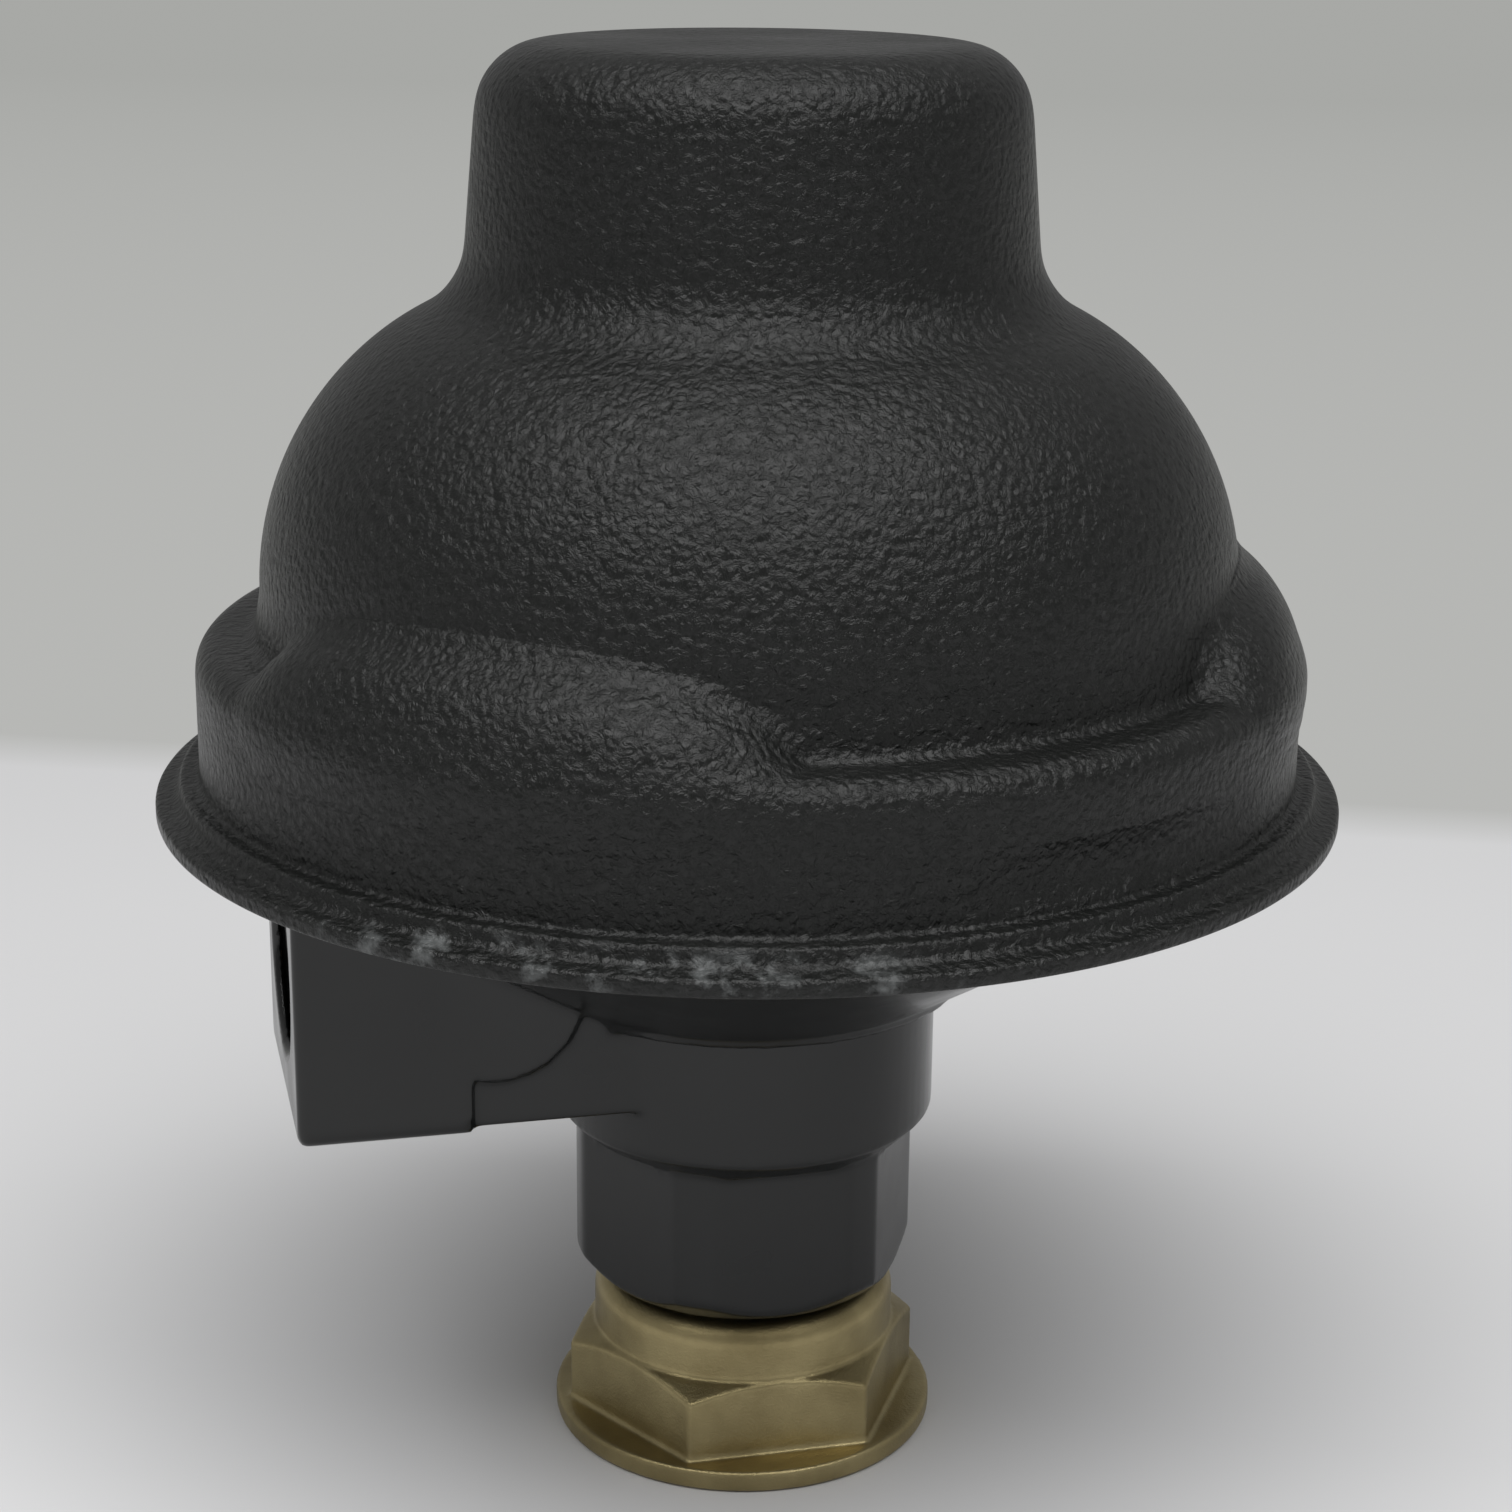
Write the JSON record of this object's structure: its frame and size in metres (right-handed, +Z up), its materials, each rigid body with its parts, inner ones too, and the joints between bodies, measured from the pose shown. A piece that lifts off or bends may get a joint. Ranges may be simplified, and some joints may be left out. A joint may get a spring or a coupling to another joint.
{
  "type": "gas pressure regulator",
  "caption": "Angle-pattern gas pressure regulator: brass union nut inlet below, threaded side outlet, diaphragm casing and lever valve under a grained black lift-off hood.",
  "frame": {"origin": "centre of the union nut's base face, on the inlet axis", "axes": "+Z up along the inlet axis towards the hood's top; the outlet opens towards -X; -Y is the side nearest the viewer"},
  "size_m": [0.1092, 0.1092, 0.1326],
  "materials": {
    "hood_plastic": "leather-grained semi-gloss black ABS sheet",
    "black_casting": "gloss black powder-coated die casting",
    "forged_brass": "sand-blasted forged brass",
    "turned_brass": "turned brass",
    "spring_steel": "zinc-plated steel wire",
    "zinc_steel": "zinc-plated steel",
    "cast_aluminium": "machined aluminium",
    "rubber": "black nitrile rubber",
    "cap_plastic": "moulded black plastic"
  },
  "bodies": {
    "regulator": {"valve_body": "black_casting", "bonnet_casing": "black_casting", "casing_screws": "zinc_steel", "vent_screen": "zinc_steel", "inlet_tailpiece": "turned_brass", "inlet_gasket": "rubber", "inlet_filter": "zinc_steel", "nozzle": "turned_brass", "valve_guide": "cast_aluminium", "lever_pin": "zinc_steel", "diaphragm": "rubber", "main_spring": "spring_steel"},
    "inlet_nut": {"union_nut": "forged_brass"},
    "hood": {"protective_hood": "hood_plastic"},
    "stem_group": {"stem": "cast_aluminium", "relief_retainer": "turned_brass"},
    "diaphragm_plates": {"upper_plate": "zinc_steel", "lower_plate": "zinc_steel", "relief_spring": "spring_steel"},
    "lever_body": {"lever": "zinc_steel"},
    "plunger_group": {"valve_plunger": "turned_brass", "seat_disc": "rubber"},
    "spring_button_body": {"spring_button": "cast_aluminium"},
    "adjusting_screw_body": {"adjusting_screw": "turned_brass"},
    "cap_seal_body": {"cap_seal": "rubber"},
    "cap_body": {"closing_cap": "cap_plastic"}
  },
  "joints": [
    {"name": "nut_spin", "type": "hinge", "parent": "regulator", "child": "inlet_nut", "pos_m": [0, 0, 0], "axis": [0, 0, 1], "continuous": true},
    {"name": "hood_lift", "type": "slide", "parent": "regulator", "child": "hood", "axis": [0, 0, 1], "range_m": [0, 0.07]},
    {"name": "diaphragm_stroke", "type": "slide", "parent": "regulator", "child": "stem_group", "axis": [0, 0, 1], "range_m": [0, 0.0034], "deforming": ["diaphragm", "main_spring"]},
    {"name": "relief_lift", "type": "slide", "parent": "stem_group", "child": "diaphragm_plates", "axis": [0, 0, 1], "range_m": [0, 0.0015], "deforming": ["relief_spring", "diaphragm", "main_spring"]},
    {"name": "lever_turn", "type": "hinge", "parent": "regulator", "child": "lever_body", "pos_m": [-0.026, 0, 0.06], "axis": [0, -1, 0], "range_deg": [0, 7.6]},
    {"name": "plunger_slide", "type": "slide", "parent": "regulator", "child": "plunger_group", "axis": [1, 0, 0], "range_m": [0, 0.00099]},
    {"name": "adjuster_feed", "type": "slide", "parent": "regulator", "child": "spring_button_body", "axis": [0, 0, -1], "range_m": [-0.00301, 0.00601], "deforming": ["main_spring"]},
    {"name": "adjuster_turn", "type": "hinge", "parent": "spring_button_body", "child": "adjusting_screw_body", "pos_m": [0, 0, 0.11], "axis": [0, 0, -1], "range_deg": [-720, 1440]},
    {"name": "cap_rise", "type": "slide", "parent": "regulator", "child": "cap_seal_body", "axis": [0, 0, 1], "range_m": [0, 0.00301]},
    {"name": "cap_turn", "type": "hinge", "parent": "cap_seal_body", "child": "cap_body", "pos_m": [0, 0, 0.125], "axis": [0, 0, 1], "range_deg": [0, 720]}
  ],
  "couplings": [
    {"joint": "lever_turn", "follows": "diaphragm_stroke", "rad_per_m": 38.462},
    {"joint": "plunger_slide", "follows": "diaphragm_stroke", "ratio": 0.28846},
    {"joint": "adjuster_feed", "follows": "adjuster_turn", "m_per_rad": 0.00023873},
    {"joint": "cap_rise", "follows": "cap_turn", "m_per_rad": 0.00023873}
  ]
}
